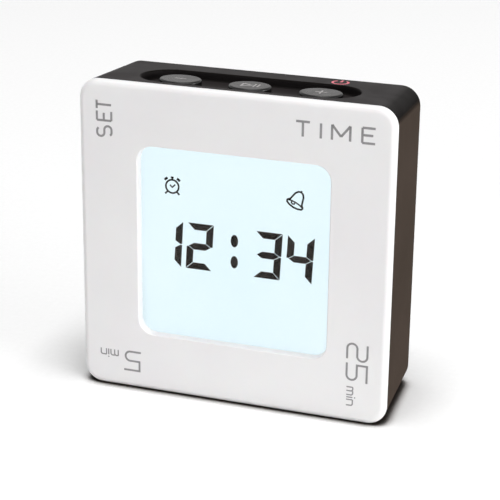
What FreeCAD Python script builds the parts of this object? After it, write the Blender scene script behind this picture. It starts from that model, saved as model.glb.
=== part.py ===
import FreeCAD, Part
import math
import os

# A flip clock: white front cover, drafted rear housing, three push buttons on top,
# a backlit display, a ball sensor that tells which side is down, a speaker and two cells.
# Lengths are in millimetres. Everything is worked out in the clock's own frame first:
# X to the right of the face, Y from the face to the back, Z up along the face.
# The clock stands on its drafted underside, so the last step leans it back by the draft.

# Face and window
window_side = 49.2
window_corner = 4.0
window_rounding = 0.3
face_margin = 15.4
cover_depth = 1.7
face_rounding = 1.55
recess_depth = 2.5

# Shells
corner_radius = 4.9
draft_angle = 2.35
shell_wall = 2.0
rear_wall = 2.0
rear_rounding = 0.8
lip_wall = 1.2
lip_depth = 2.0
lip_gap = 0.25
overrun = 0.5
tolerance = 0.005
sample_count = 5

# Display stack, from the window to the back
window_overlap = 1.9
window_thickness = 0.8
window_frame_width = 3.4
glass_overlap = 1.7
glass_thickness = 0.55
glass_ledge = 2.8
crystal_gap = 0.1
crystal_clearance = 0.02
diffuser_thickness = 0.3
guide_thickness = 2.0
reflector_thickness = 0.2
seat_gap = 0.2

# Frame that holds the display stack
frame_wall = 1.2
frame_back = 1.0
frame_gap = 0.3
frame_opening_inset = 6.0
ear_gap = 0.3
ear_radius = 2.4
ear_rise = 16.0
spacer_height = 1.0

# Backlight lamps at the left edge of the light guide
strip_thickness = 0.4
strip_margin = 6.0
lamp_depth = 1.1
lamp_width = 3.0
lamp_pitch = 14.0
lamp_inset = 0.15

# Rubber contact strip between glass and board
contact_width = 1.8
contact_inset = 0.3
contact_margin = 2.3
contact_slot_gap = 0.3

# Main board and what it carries
board_thickness = 1.2
board_side_inset = 0.8
board_ledge = 0.4
board_top_gap = 1.8
component_room = 2.8
chip_radius = 5.0
chip_height = 1.3
chip_x = -9.0
chip_drop = 22.5
crystal_radius = 1.0
crystal_length = 6.0
crystal_x = 3.0
capacitor_length = 2.0
capacitor_width = 1.25
capacitor_height = 0.9
capacitor_pitch = 4.0
capacitor_gap = 1.0
capacitor_drop = 10.5

# Digits and signs on the display, placed from the window's centre
digit_height = 12.0
digit_width = 6.8
digit_row_stroke = 1.7
digit_column_stroke = 1.8
digit_gap = 0.09
digit_tip_share = 0.25
digit_slant = 3.0
digit_base = -6.85
digit_lefts = {"1": -21.15, "2": -13.1, "3": 4.7, "4": 12.85}
colon_x = -0.6
colon_rise = 2.75
colon_lift = -0.95
colon_half_width = 0.95
colon_half_height = 1.6
sign_stroke = 0.32
bold_share = 1.5
fine_share = 0.8
alarm_sign_x = -16.6
alarm_sign_lift = 14.1
alarm_sign_radius = 1.7
bell_sign_x = 15.2
bell_sign_lift = 14.5
bell_sign_height = 4.4
bell_sign_tilt = -22.0

# Buttons and their recess in the top
button_end_gap = 4.39
button_shift = 0.35
button_half_width = 5.36
button_half_depth = 4.18
button_drop = 0.5
button_rounding = 0.5
button_gap = 0.2
button_travel = 0.6
button_rest_gap = 0.05
flange_reach = 0.9
flange_thickness = 0.8
stem_radius = 1.5
stem_length = 1.45
recess_setback = 11.85
recess_width = 15.4
recess_floor_drop = 2.4
recess_fillet = 0.7
recess_rounding = 0.35
pad_thickness = 1.5
pad_wall = 1.2

# Switches and their board
plunger_radius = 1.7
plunger_rise = 1.0
plunger_length = 2.0
plunger_gap = 0.08
switch_side = 6.0
switch_height = 3.1
switch_board_thickness = 1.0
switch_board_depth = 8.0
switch_board_reach = 1.5
switch_boss_radius = 2.0
switch_boss_gap = 0.74
ribbon_width = 8.0
ribbon_thickness = 0.5
ribbon_bend = 0.6
ribbon_drop = 4.5
ribbon_stand = 1.3

# Case screws
case_pad_gap = 0.3
case_screw_radius = 1.1
case_screw_length = 10.0
case_head_radius = 2.0
case_head_height = 1.6
case_boss_radius = 2.8
case_head_depth = 7.0
well_wall = 0.9
well_floor = 2.0
boss_end_gap = 0.1
head_gap = 0.3
shank_gap = 0.2
slot_width = 0.6
slot_reach_share = 0.7
slot_depth = 0.7

# Board screws
board_screw_radius = 0.9
board_head_radius = 1.7
board_head_height = 1.2
board_screw_grip = 4.0

# Cells and their bay
cell_radius = 5.25
cell_length = 43.7
cell_nub_radius = 1.9
cell_nub_length = 0.8
cell_rounding = 0.6
cell_gap = 0.4
cell_seat_gap = 0.3
bay_wall = 1.4
bay_floor = 1.3
bay_lift = 10.0
plate_thickness = 0.3
plate_side = 8.4
plate_tab_width = 3.0
spring_length = 4.1
spring_turns = 4
spring_wire = 0.35
spring_base_radius = 3.6
spring_tip_radius = 2.4
lead_radius = 0.5
lead_drop = 4.0
tab_reach = 0.9

# Battery door
door_thickness = 1.6
door_gap = 0.2
door_side_ledge = 2.2
door_corner = 1.5
door_rib_depth = 2.0
door_rib_wall = 1.2
door_rib_inset = 3.0
door_ledge_width = 1.6
door_rounding = 0.3
thumb_width = 14.0
thumb_height = 4.5
thumb_depth = 0.7
thumb_inset = 1.6
thumb_corner = 0.6

# Speaker behind the rear wall
speaker_drop = 21.0
speaker_radius = 12.0
speaker_rim = 1.6
speaker_wall = 0.6
speaker_depth = 4.0
speaker_gap = 0.15
gasket_thickness = 0.5
cone_thickness = 0.3
cone_throat_radius = 3.0
cone_sink = 2.4
cone_rim = 1.2
cone_gap = 0.05
magnet_radius = 7.0
magnet_depth = 3.5
speaker_ring_wall = 1.25
speaker_ring_depth = 3.5
sound_hole_radius = 0.75
sound_hole_pitch = 2.9
sound_hole_rings = 3

# Ball sensor that tells which side is down
sensor_rise = 4.0
ball_radius = 1.5
ball_gap = 0.15
ball_end_gap = 0.3
ball_orbit = 3.05
cup_wall = 0.8
cup_floor = 0.8
hub_gap = 0.35
lid_thickness = 0.6

# Worked out from the sizes above
face_side = window_side + 2 * face_margin
half_face = face_side / 2
centre_z = half_face
window_back = recess_depth + window_thickness
front_glass_back = window_back + glass_thickness
rear_glass_front = front_glass_back + crystal_gap
crystal_front = front_glass_back + crystal_clearance
crystal_back = rear_glass_front - crystal_clearance
rear_glass_back = rear_glass_front + glass_thickness
diffuser_back = rear_glass_back + diffuser_thickness
guide_back = diffuser_back + guide_thickness
reflector_back = guide_back + reflector_thickness
frame_end = reflector_back + frame_back
board_front = frame_end + spacer_height
board_back = board_front + board_thickness
bay_front = board_back + component_room
bay_inner = bay_front + bay_floor
cell_y = bay_inner + cell_seat_gap + cell_radius
door_inner = cell_y + cell_radius + cell_seat_gap
body_depth = door_inner + door_thickness
wall_back = body_depth - rear_wall
draft = math.tan(math.radians(draft_angle))

glass_side = window_side + 2 * glass_overlap
window_pane_side = window_side + 2 * window_overlap
frame_inner_half = glass_side / 2 + frame_gap
frame_half = frame_inner_half + frame_wall
glass_bottom = centre_z - glass_side / 2 - glass_ledge
frame_bottom = glass_bottom - frame_gap - frame_wall
frame_top = centre_z + frame_half
ear_x = frame_half + ear_gap + ear_radius
ear_spots = [(sx * ear_x, centre_z + sz * ear_rise) for sx in (-1, 1) for sz in (-1, 1)]

button_setback = recess_setback + button_shift
button_pitch = 2 * (button_half_width + flange_reach + switch_boss_gap + switch_boss_radius)
recess_length = 2 * (button_pitch + button_half_width + button_end_gap)
button_top = face_side - (button_setback - cover_depth) * draft - button_drop
recess_floor = button_top + button_drop - recess_floor_drop
pad_bottom = recess_floor - pad_thickness
flange_top = pad_bottom - button_rest_gap
flange_bottom = flange_top - flange_thickness
stem_bottom = flange_bottom - stem_length
switch_top = stem_bottom - plunger_rise
switch_board_top = switch_top - switch_height
switch_board_bottom = switch_board_top - switch_board_thickness
button_places = {"left": -button_pitch, "middle": 0, "right": button_pitch}
switch_boss_x = button_pitch / 2
switch_board_half = button_pitch + switch_side / 2 + switch_board_reach
board_top = switch_board_bottom - board_top_gap
board_bottom = glass_bottom - board_ledge
board_half = frame_half - board_side_inset
capacitor_x = ribbon_width / 2 + capacitor_gap

cell_rise = cell_radius + cell_gap / 2
bay_half_height = 2 * cell_radius + 1.5 * cell_gap
bay_half_length = (cell_length + cell_nub_length + spring_length + 2 * plate_thickness) / 2
door_half_width = bay_half_length + door_side_ledge
door_half_height = bay_half_height + door_side_ledge - cell_gap
ledge_half_width = door_half_width + door_gap + door_ledge_width
ledge_half_height = door_half_height + door_gap + door_ledge_width
speaker_ring_inner = speaker_radius + speaker_gap
speaker_ring_outer = speaker_ring_inner + speaker_ring_wall
speaker_z = centre_z - speaker_drop
bay_z = centre_z + bay_lift
cup_inner_radius = ball_orbit + ball_radius + ball_gap
cup_outer_radius = cup_inner_radius + cup_wall
sensor_x = board_half - cup_outer_radius
sensor_z = board_bottom + sensor_rise + cup_outer_radius
cup_cavity = 2 * (ball_radius + ball_end_gap)
ball_y = board_back + cup_floor + ball_end_gap + ball_radius
seat_y = body_depth - case_head_depth
well_radius = case_head_radius + head_gap
case_screw_reach = pad_bottom - case_pad_gap - well_radius - well_wall - centre_z
case_spots = [(sx * case_screw_reach, centre_z + sz * case_screw_reach) for sx in (-1, 1) for sz in (-1, 1)]


def vector(x, y, z):
    return FreeCAD.Vector(x, y, z)


def block(x0, x1, y0, y1, z0, z1):
    """A box from its lowest to its highest corner."""
    return Part.makeBox(x1 - x0, y1 - y0, z1 - z0, vector(x0, y0, z0))


def edges_along(shape, direction):
    """The straight edges that run mostly along a direction."""
    found = []
    for edge in shape.Edges:
        if len(edge.Vertexes) == 2:
            run = edge.Vertexes[1].Point - edge.Vertexes[0].Point
            if abs(run.dot(direction)) > run.Length * math.cos(math.radians(2 * draft_angle)):
                found.append(edge)
    return found


def edges_at(shape, axis, place):
    """The edges that lie in the plane where one coordinate has a given value."""
    found = []
    for edge in shape.Edges:
        ends = [getattr(point.Point, axis) for point in edge.Vertexes]
        if max(abs(value - place) for value in ends) < tolerance:
            found.append(edge)
    return found


def plate(width, height, y0, y1, corner, x=0, z=None):
    """A plate parallel to the face, with rounded corners."""
    z = centre_z if z is None else z
    slab = block(x - width / 2, x + width / 2, y0, y1, z - height / 2, z + height / 2)
    return slab.makeFillet(corner, edges_along(slab, vector(0, 1, 0)))


def rod(radius, y0, y1, x, z):
    """A round bar that runs from the front to the back."""
    return Part.makeCylinder(radius, y1 - y0, vector(x, y0, z), vector(0, 1, 0))


def post(radius, z0, z1, x, y):
    """A round bar that stands upright."""
    return Part.makeCylinder(radius, z1 - z0, vector(x, y, z0), vector(0, 0, 1))


def tube(outer, inner, y0, y1, x, z):
    """A round tube that runs from the front to the back."""
    return rod(outer, y0, y1, x, z).cut(rod(inner, y0 - overrun, y1 + overrun, x, z))


def drafted_block(half_front, y0, y1, corner):
    """A square block about the face's centre that narrows to the back by the draft."""
    half_rear = half_front - (y1 - y0) * draft
    low, high = centre_z - half_front, centre_z + half_front
    low_rear, high_rear = centre_z - half_rear, centre_z + half_rear
    wedge = Part.makeWedge(-half_front, y0, low, low_rear, -half_rear,
                           half_front, y1, high, high_rear, half_rear)
    return wedge.makeFillet(corner, edges_along(wedge, vector(0, 1, 0)))


def oval(half_width, half_depth, z0, z1, x, y):
    """An upright elliptic bar, wider along X."""
    ring = Part.Ellipse(vector(x, y, z0), half_width, half_depth).toShape()
    return Part.Face(Part.Wire([ring])).extrude(vector(0, 0, z1 - z0))


def stadium(length, width, z0, z1, y):
    """An upright bar whose section is a rectangle with half-round ends."""
    reach = (length - width) / 2
    middle = block(-reach, reach, y - width / 2, y + width / 2, z0, z1)
    ends = [post(width / 2, z0, z1, side * reach, y) for side in (-1, 1)]
    return middle.fuse(ends).removeSplitter()


def face_prism(points, y0, y1):
    """A prism along Y over a polygon of (x, z) points."""
    corners = [vector(x, y0, z) for x, z in points]
    return Part.Face(Part.makePolygon(corners + corners[:1])).extrude(vector(0, y1 - y0, 0))


def bent_tube(points, radius, bend):
    """A tube along straight runs joined by tangent arcs of one bend radius."""
    places = [vector(*point) for point in points]
    edges = []
    start = places[0]
    for before, corner, after in zip(places, places[1:], places[2:]):
        back = (before - corner).normalize()
        ahead = (after - corner).normalize()
        half_turn = back.getAngle(ahead) / 2
        reach = bend / math.tan(half_turn)
        middle = (back + ahead).normalize()
        enter = corner + back * reach
        leave = corner + ahead * reach
        inner = corner + middle * (bend / math.sin(half_turn) - bend)
        edges.append(Part.LineSegment(start, enter).toShape())
        edges.append(Part.Arc(enter, inner, leave).toShape())
        start = leave
    edges.append(Part.LineSegment(start, places[-1]).toShape())
    path = Part.Wire(edges)
    ring = Part.Wire([Part.Circle(places[0], places[1] - places[0], radius).toShape()])
    return path.makePipeShell([ring], True, False)


# Shells


def front_cover():
    """White cover: rounded plate with the window, its seat, a lip and eight bosses."""
    cover = plate(face_side, face_side, 0, cover_depth, corner_radius)
    cover = cover.makeFillet(face_rounding, edges_at(cover, "y", 0))
    seat_side = window_side + 2 * window_frame_width
    seat_corner = window_corner + window_frame_width
    cover = cover.fuse(plate(seat_side, seat_side, cover_depth, window_back, seat_corner))
    pane_side = window_pane_side + 2 * seat_gap
    pane_corner = window_corner + window_overlap
    cover = cover.cut(plate(pane_side, pane_side, recess_depth, window_back + overrun, pane_corner))
    opening = plate(window_side, window_side, -overrun, recess_depth + overrun, window_corner)
    cover = cover.cut(opening)
    rim = [edge for edge in edges_at(cover, "y", 0)
           if max(abs(point.Point.x) for point in edge.Vertexes) < window_side / 2 + overrun]
    cover = cover.makeFillet(window_rounding, rim)
    lip_side = face_side - 2 * (shell_wall + lip_gap)
    lip_corner = corner_radius - shell_wall
    lip_end = cover_depth + lip_depth
    lip = plate(lip_side, lip_side, cover_depth, lip_end, lip_corner)
    core_side = lip_side - 2 * lip_wall
    lip = lip.cut(plate(core_side, core_side, cover_depth - overrun, lip_end + overrun, lip_corner / 2))
    notch = recess_length / 2 + pad_wall + lip_gap
    lip = lip.cut(block(-notch, notch, cover_depth, lip_end + overrun, centre_z + half_face / 2, face_side))
    cover = cover.fuse(lip)
    for x, z in case_spots:
        cover = cover.fuse(rod(case_boss_radius, cover_depth, seat_y - well_floor - boss_end_gap, x, z))
    for x, z in ear_spots:
        cover = cover.fuse(rod(ear_radius, cover_depth, reflector_back, x, z))
    for x, z in case_spots:
        cover = cover.cut(rod(case_screw_radius, seat_y - case_screw_length - overrun, seat_y, x, z))
    for x, z in ear_spots:
        start = reflector_back - board_screw_grip
        cover = cover.cut(rod(board_screw_radius, start, reflector_back + overrun, x, z))
    return cover.removeSplitter()


def sound_holes():
    """Round holes in rings of six, twelve and eighteen about one in the middle."""
    holes = [rod(sound_hole_radius, wall_back - overrun, body_depth + overrun, 0, speaker_z)]
    for ring in range(1, sound_hole_rings + 1):
        count = 6 * ring
        for number in range(count):
            angle = 2 * math.pi * number / count
            x = ring * sound_hole_pitch * math.cos(angle)
            z = speaker_z + ring * sound_hole_pitch * math.sin(angle)
            holes.append(rod(sound_hole_radius, wall_back - overrun, body_depth + overrun, x, z))
    return holes


def battery_bay_solid():
    """Walls of the battery bay, with the wider ledge that the door seats on."""
    wide = bay_half_length + bay_wall
    tall = bay_half_height + bay_wall
    bay = block(-wide, wide, bay_front, door_inner, bay_z - tall, bay_z + tall)
    ledge = block(-ledge_half_width, ledge_half_width, door_inner - door_rib_depth, wall_back + overrun / 2,
                  bay_z - ledge_half_height, bay_z + ledge_half_height)
    return bay.fuse(ledge)


def battery_bay_hollow():
    """The space for the cells, the door's seat and the slots for the contact tabs."""
    hollow = block(-bay_half_length, bay_half_length, bay_inner, door_inner + overrun,
                   bay_z - bay_half_height, bay_z + bay_half_height)
    seat = plate(2 * (door_half_width + door_gap), 2 * (door_half_height + door_gap), door_inner,
                 body_depth + overrun, door_corner + door_gap, 0, bay_z)
    slots = []
    for side in (-1, 1):
        for level in (-1, 1):
            inner = side * (bay_half_length - plate_thickness - cell_gap)
            outer = side * bay_half_length
            z = bay_z + level * cell_rise
            reach = plate_tab_width / 2 + seat_gap
            start, end = min(inner, outer), max(inner, outer)
            slots.append(block(start, end, bay_front - overrun, bay_inner + overrun, z - reach, z + reach))
    return hollow.fuse([seat] + slots)


def on_top_face(edge):
    """Whether an edge lies in the drafted top face."""
    points = edge.discretize(sample_count)
    return all(abs(face_side - (point.y - cover_depth) * draft - point.z) < tolerance for point in points)


def rear_housing():
    """Dark housing: drafted shell with button recess, bay, speaker ring and screw wells."""
    shell = drafted_block(half_face, cover_depth, body_depth, corner_radius)
    shell = shell.makeFillet(rear_rounding, edges_at(shell, "y", body_depth))
    cavity = drafted_block(half_face - shell_wall, cover_depth, wall_back, corner_radius - shell_wall)
    shell = shell.cut(cavity)
    pad_half = recess_length / 2 + pad_wall
    pad_front = recess_setback - recess_width / 2 - pad_wall
    pad_rear = recess_setback + recess_width / 2 + pad_wall
    inner_top = face_side - shell_wall
    shell = shell.fuse(block(-pad_half, pad_half, pad_front, pad_rear, pad_bottom, inner_top))
    recess = stadium(recess_length, recess_width, recess_floor, face_side + overrun, recess_setback)
    recess = recess.makeFillet(recess_fillet, edges_at(recess, "z", recess_floor))
    shell = shell.cut(recess)
    reach = recess_length / 2 + overrun
    mouth = [edge for edge in shell.Edges
             if on_top_face(edge) and edge.BoundBox.XMax < reach and edge.BoundBox.XMin > -reach]
    shell = shell.makeFillet(recess_rounding, mouth)
    for x in button_places.values():
        shell = shell.cut(oval(button_half_width + button_gap, button_half_depth + button_gap,
                               pad_bottom - overrun, recess_floor + overrun, x, button_setback))
    for side in (-1, 1):
        x = side * switch_boss_x
        boss = post(switch_boss_radius, switch_board_top, pad_bottom + overrun, x, button_setback)
        shell = shell.fuse(boss)
        shell = shell.cut(post(board_screw_radius, switch_board_top - overrun, pad_bottom - overrun, x,
                               button_setback))
    shell = shell.fuse(battery_bay_solid())
    shell = shell.cut(battery_bay_hollow())
    ring_start = wall_back - speaker_ring_depth
    shell = shell.fuse(tube(speaker_ring_outer, speaker_ring_inner, ring_start, wall_back, 0, speaker_z))
    shell = shell.cut(Part.makeCompound(sound_holes()))
    well_start = seat_y - well_floor
    for x, z in case_spots:
        shell = shell.fuse(rod(well_radius + well_wall, well_start, body_depth - rear_wall / 2, x, z))
        shell = shell.cut(rod(well_radius, seat_y, body_depth + overrun, x, z))
        shell = shell.cut(rod(case_screw_radius + shank_gap, well_start - overrun, seat_y + overrun, x, z))
    return shell.removeSplitter()


def battery_door():
    """Flat door with rounded corners, a thumb hollow and two ribs that plug into the bay."""
    door = plate(2 * door_half_width, 2 * door_half_height, door_inner, body_depth, door_corner, 0, bay_z)
    door = door.makeFillet(door_rounding, edges_at(door, "y", body_depth))
    thumb_z = bay_z + door_half_height - thumb_inset - thumb_height / 2
    door = door.cut(plate(thumb_width, thumb_height, body_depth - thumb_depth, body_depth + overrun,
                          thumb_corner, 0, thumb_z))
    rib_half = bay_half_length - door_rib_inset
    for side in (-1, 1):
        outer = bay_z + side * (bay_half_height - door_gap)
        inner = outer - side * door_rib_wall
        door = door.fuse(block(-rib_half, rib_half, door_inner - door_rib_depth, door_inner + overrun / 2,
                               min(outer, inner), max(outer, inner)))
    return door.removeSplitter()


# Display


def window_pane():
    corner = window_corner + window_overlap - seat_gap
    return plate(window_pane_side, window_pane_side, recess_depth, window_back, corner)


def glass_with_ledge():
    """Front glass, which reaches further down to carry the contacts."""
    top = centre_z + glass_side / 2
    return block(-glass_side / 2, glass_side / 2, window_back, front_glass_back, glass_bottom, top)


def display_layer(y0, y1):
    """One plain layer of the display stack."""
    half = glass_side / 2
    return block(-half, half, y0, y1, centre_z - half, centre_z + half)


def light_guide():
    """Clear guide, shorter on the left where the lamps shine into its edge."""
    half = glass_side / 2
    left = -half + strip_thickness + lamp_depth
    return block(left, half, diffuser_back, guide_back, centre_z - half, centre_z + half)


def backlight_strip():
    half = glass_side / 2
    reach = half - strip_margin
    return block(-half, -half + strip_thickness, diffuser_back + lamp_inset, guide_back - lamp_inset,
                 centre_z - reach, centre_z + reach)


def backlight_lamps():
    left = -glass_side / 2 + strip_thickness
    lamps = []
    for number in (-1, 0, 1):
        z = centre_z + number * lamp_pitch
        lamps.append(block(left, left + lamp_depth, diffuser_back + lamp_inset, guide_back - lamp_inset,
                           z - lamp_width / 2, z + lamp_width / 2))
    return Part.makeCompound(lamps)


def eared_plate(half_width, y0, y1, z0, z1):
    """A plate with four round ears for the board screws, two on each side."""
    body = block(-half_width, half_width, y0, y1, z0, z1)
    for x, z in ear_spots:
        side = math.copysign(1, x)
        root = side * (half_width - overrun)
        body = body.fuse(block(min(root, x), max(root, x), y0, y1, z - ear_radius, z + ear_radius))
        body = body.fuse(rod(ear_radius, y0, y1, x, z))
    return body


def display_frame():
    """Tray round the display stack, with ears, spacers and a slot for the contact strip."""
    frame = eared_plate(frame_half, reflector_back, frame_end, frame_bottom, frame_top)
    frame = frame.fuse(block(-frame_half, frame_half, window_back, frame_end, frame_bottom, frame_top))
    inner_top = frame_top - frame_wall
    frame = frame.cut(block(-frame_inner_half, frame_inner_half, window_back - overrun, reflector_back,
                            frame_bottom + frame_wall, inner_top))
    reach = glass_side / 2 - frame_opening_inset
    frame = frame.cut(block(-reach, reach, reflector_back - overrun, frame_end + overrun,
                            centre_z - reach, centre_z + reach))
    slot_half = glass_side / 2 - contact_margin + contact_slot_gap
    slot_low = glass_bottom + contact_inset - contact_slot_gap
    frame = frame.cut(block(-slot_half, slot_half, reflector_back - overrun, frame_end + overrun,
                            slot_low, slot_low + contact_width + 2 * contact_slot_gap))
    hole_radius = board_screw_radius + shank_gap
    for x, z in ear_spots:
        frame = frame.fuse(rod(ear_radius, frame_end, board_front, x, z))
        frame = frame.cut(rod(hole_radius, reflector_back - overrun, board_front + overrun, x, z))
    return frame.removeSplitter()


def contact_strip():
    half = glass_side / 2 - contact_margin
    low = glass_bottom + contact_inset
    return block(-half, half, front_glass_back, board_front, low, low + contact_width)


def digit_segment(name):
    """Outline of one of the seven bars of a digit, as (across, up) points in its cell."""
    wide, tall, gap = digit_width, digit_height, digit_gap
    row, column = digit_row_stroke, digit_column_stroke
    middle = tall / 2
    bottom = [(gap, 0), (wide - gap, 0), (wide - column - gap, row), (column + gap, row)]
    if name == "bottom":
        return bottom
    if name == "top":
        return [(across, tall - up) for across, up in bottom]
    if name == "middle":
        tip, shoulder = column * digit_tip_share + gap, column + gap
        return [(tip, middle), (shoulder, middle + row / 2), (wide - shoulder, middle + row / 2),
                (wide - tip, middle), (wide - shoulder, middle - row / 2), (shoulder, middle - row / 2)]
    upper = [(wide, tall - gap), (wide, middle + 2 * gap), (wide - column * digit_tip_share, middle + gap),
             (wide - column, middle + row / 2 + gap), (wide - column, tall - row - gap)]
    if name == "upper right":
        return upper
    if name == "lower right":
        return [(across, tall - up) for across, up in upper]
    if name == "upper left":
        return [(wide - across, up) for across, up in upper]
    return [(wide - across, tall - up) for across, up in upper]


digit_bars = {
    "1": ["upper right", "lower right"],
    "2": ["top", "upper right", "middle", "lower left", "bottom"],
    "3": ["top", "upper right", "middle", "lower right", "bottom"],
    "4": ["upper left", "middle", "upper right", "lower right"],
}


def lcd_digits():
    """The time 12:34 in slanted bars, a thin layer between the two glasses."""
    lean = math.tan(math.radians(digit_slant))
    base = centre_z + digit_base
    bars = []
    for digit, left in digit_lefts.items():
        for name in digit_bars[digit]:
            points = [(left + across + (up - digit_height / 2) * lean, base + up)
                      for across, up in digit_segment(name)]
            bars.append(face_prism(points, crystal_front, crystal_back))
    for side in (-1, 1):
        z = centre_z + colon_lift + side * colon_rise
        dot = Part.Ellipse(vector(0, 0, 0), colon_half_height, colon_half_width).toShape()
        dot.rotate(vector(0, 0, 0), vector(0, 0, 1), 90)
        dot.rotate(vector(0, 0, 0), vector(1, 0, 0), 90)
        dot.translate(vector(colon_x, crystal_front, z))
        bars.append(Part.Face(Part.Wire([dot])).extrude(vector(0, crystal_back - crystal_front, 0)))
    return Part.makeCompound(bars)


def stroke(points, width):
    """A thin line of round-ended runs through (x, z) points, in the layer of the digits."""
    runs = []
    for (x0, z0), (x1, z1) in zip(points, points[1:]):
        length = math.hypot(x1 - x0, z1 - z0)
        run = block(0, length, crystal_front, crystal_back, -width / 2, width / 2)
        run.rotate(vector(0, 0, 0), vector(0, 1, 0), -math.degrees(math.atan2(z1 - z0, x1 - x0)))
        run.translate(vector(x0, 0, z0))
        runs.append(run)
    dots = [rod(width / 2, crystal_front, crystal_back, x, z) for x, z in points]
    return dots[0].fuse(dots[1:] + runs).removeSplitter()


def sign_stroke_at(shares, x, z, size, width, side=1, turn=0):
    """A stroke through points given as shares of a size, mirrored or turned about (x, z)."""
    angle = math.radians(turn)
    points = [(x + size * (side * across * math.cos(angle) - up * math.sin(angle)),
               z + size * (side * across * math.sin(angle) + up * math.cos(angle))) for across, up in shares]
    return stroke(points, width)


def alarm_sign():
    """A small alarm clock: ring, hands, two bells, a knob and two feet."""
    hand_shares = [(-0.32, 0.2), (0, -0.12), (0.42, 0.3)]
    knob_shares = [(-0.16, 1.4), (0.16, 1.4)]
    bell_shares = [(0.82, 1.24), (1.02, 1.14), (1.16, 0.94)]
    foot_shares = [(0.72, -0.72), (1.06, -1.12)]
    radius = alarm_sign_radius
    x, z = alarm_sign_x, centre_z + alarm_sign_lift
    pieces = [tube(radius, radius - sign_stroke, crystal_front, crystal_back, x, z)]
    pieces.append(sign_stroke_at(hand_shares, x, z, radius, sign_stroke * fine_share))
    pieces.append(sign_stroke_at(knob_shares, x, z, radius, sign_stroke * bold_share))
    for side in (-1, 1):
        pieces.append(sign_stroke_at(bell_shares, x, z, radius, sign_stroke * bold_share, side))
        pieces.append(sign_stroke_at(foot_shares, x, z, radius, sign_stroke, side))
    return pieces


def bell_sign():
    """A bell in outline, tilted, with its rim, clapper and knob."""
    outline_shares = [(-0.43, -0.36), (-0.33, -0.22), (-0.29, 0.02), (-0.26, 0.22), (-0.14, 0.36), (0, 0.4),
                      (0.14, 0.36), (0.26, 0.22), (0.29, 0.02), (0.33, -0.22), (0.43, -0.36)]
    clapper_shares = [(-0.11, -0.34), (-0.09, -0.4), (0, -0.43), (0.09, -0.4), (0.11, -0.34)]
    rim_shares = [(-0.43, -0.36), (-0.3, -0.45), (0, -0.5), (0.3, -0.45), (0.43, -0.36)]
    brow_shares = [(-0.43, -0.36), (-0.22, -0.3), (0, -0.28), (0.22, -0.3), (0.43, -0.36)]
    knob_shares = [(-0.04, 0.46), (0.04, 0.46)]
    x, z = bell_sign_x, centre_z + bell_sign_lift
    lines = [sign_stroke_at(shares, x, z, bell_sign_height, width, 1, bell_sign_tilt)
             for shares, width in ((outline_shares, sign_stroke), (rim_shares, sign_stroke),
                                   (brow_shares, sign_stroke * fine_share), (knob_shares, sign_stroke),
                                   (clapper_shares, sign_stroke * fine_share))]
    return [lines[0].fuse(lines[1:]).removeSplitter()]


def lcd_signs():
    return Part.makeCompound(alarm_sign() + bell_sign())


# Boards


def main_board():
    """Board with four ears, screwed through the display frame into the cover."""
    board = eared_plate(board_half, board_front, board_back, board_bottom, board_top)
    hole_radius = board_screw_radius + shank_gap
    for x, z in ear_spots:
        board = board.cut(rod(hole_radius, board_front - overrun, board_back + overrun, x, z))
    return board.removeSplitter()


def controller_chip():
    """Low round blob of resin over the clock chip."""
    z = board_top - chip_drop
    blob = rod(chip_radius, board_back, board_back + chip_height, chip_x, z)
    return blob.makeFillet(chip_height / 2, edges_at(blob, "y", board_back + chip_height))


def clock_crystal():
    """Metal can lying on the board."""
    z = board_top - chip_drop
    return Part.makeCylinder(crystal_radius, crystal_length,
                             vector(crystal_x, board_back + crystal_radius, z), vector(1, 0, 0))


def board_capacitors():
    chips = []
    end_x = capacitor_x + capacitor_length
    end_y = board_back + capacitor_height
    for row in (-1, 0, 1):
        z = board_top - capacitor_drop + row * capacitor_pitch
        low, high = z - capacitor_width / 2, z + capacitor_width / 2
        chips.append(block(capacitor_x, end_x, board_back, end_y, low, high))
    return Part.makeCompound(chips)


def screw(head_radius, head_height, radius, length, x, y, z, axis):
    """Pan-head screw with a cross-shaped drive: y or z is the seat, axis points out of the head."""
    seat = vector(x, y, z)
    head = Part.makeCylinder(head_radius, head_height, seat, axis)
    shank = Part.makeCylinder(radius, length, seat - axis * length, axis)
    body = head.fuse(shank)
    reach = head_radius * slot_reach_share
    for turn in (0, 90):
        bar = block(-reach, reach, -slot_width / 2, slot_width / 2, -slot_depth, slot_depth)
        bar.rotate(vector(0, 0, 0), vector(0, 0, 1), turn)
        bar.Placement = FreeCAD.Placement(seat + axis * head_height,
                                          FreeCAD.Rotation(vector(0, 0, 1), axis)).multiply(bar.Placement)
        body = body.cut(bar)
    return body.removeSplitter()


def case_screws():
    return Part.makeCompound([screw(case_head_radius, case_head_height, case_screw_radius, case_screw_length,
                                    x, seat_y, z, vector(0, 1, 0)) for x, z in case_spots])


def board_screws():
    grip = board_thickness + spacer_height + frame_back + board_screw_grip - overrun
    return Part.makeCompound([screw(board_head_radius, board_head_height, board_screw_radius, grip,
                                    x, board_back, z, vector(0, 1, 0)) for x, z in ear_spots])


# Buttons


def button_cap(x):
    """Oval cap with a flange under the recess floor and a stem for the switch."""
    cap = oval(button_half_width, button_half_depth, flange_bottom, button_top, x, button_setback)
    cap = cap.makeFillet(button_rounding, edges_at(cap, "z", button_top))
    flange_half_width = button_half_width + flange_reach
    flange_half_depth = button_half_depth + flange_reach
    flange = oval(flange_half_width, flange_half_depth, flange_bottom, flange_top, x, button_setback)
    stem = post(stem_radius, stem_bottom, flange_bottom + flange_thickness / 2, x, button_setback)
    return cap.fuse([flange, stem]).removeSplitter()


def switch_plunger(x):
    return post(plunger_radius, stem_bottom - plunger_length, stem_bottom, x, button_setback)


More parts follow.
